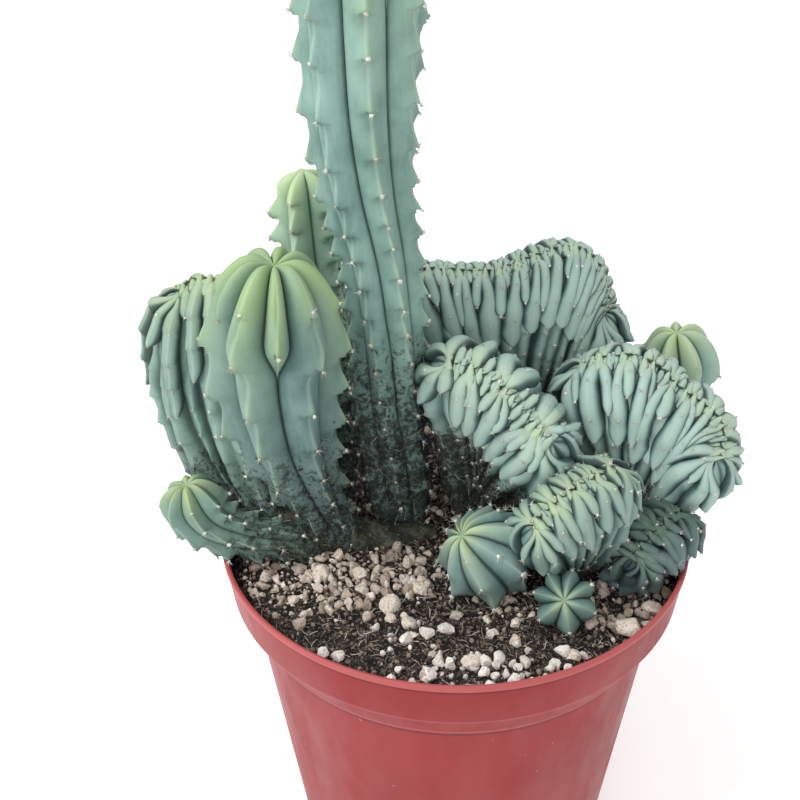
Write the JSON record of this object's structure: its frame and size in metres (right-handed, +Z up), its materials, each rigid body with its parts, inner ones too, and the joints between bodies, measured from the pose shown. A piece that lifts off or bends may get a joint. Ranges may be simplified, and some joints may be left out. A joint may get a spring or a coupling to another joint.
{
  "type": "potted crested myrtillocactus",
  "caption": "Potted blue-green columnar cactus with ribbed stems, crested wavy fans and small offsets in a gritty mix, in a tapered plastic nursery pot.",
  "frame": {"origin": "middle of the pot's flat underside", "axes": "+Z up along the pot's axis, -Y towards the side that the picture shows, +X to its right"},
  "size_m": [0.1856, 0.15, 0.32],
  "materials": {
    "terracotta_plastic": "satin",
    "potting_mix": "matte",
    "stem_skin": "matte",
    "crest_skin": "matte",
    "shaded_skin": "matte"
  },
  "bodies": {
    "root": {"pot": "terracotta_plastic", "soil": "potting_mix", "tall_stem": "stem_skin", "rear_stem": "stem_skin", "front_stem": "stem_skin", "left_stem": "stem_skin", "low_offset": "stem_skin", "upper_crest": "crest_skin", "middle_crest": "crest_skin", "right_crest": "crest_skin", "rear_right_stem": "crest_skin", "small_crest": "crest_skin", "star_offset": "crest_skin", "tiny_offset": "shaded_skin", "under_crest": "shaded_skin"}
  },
  "joints": []
}
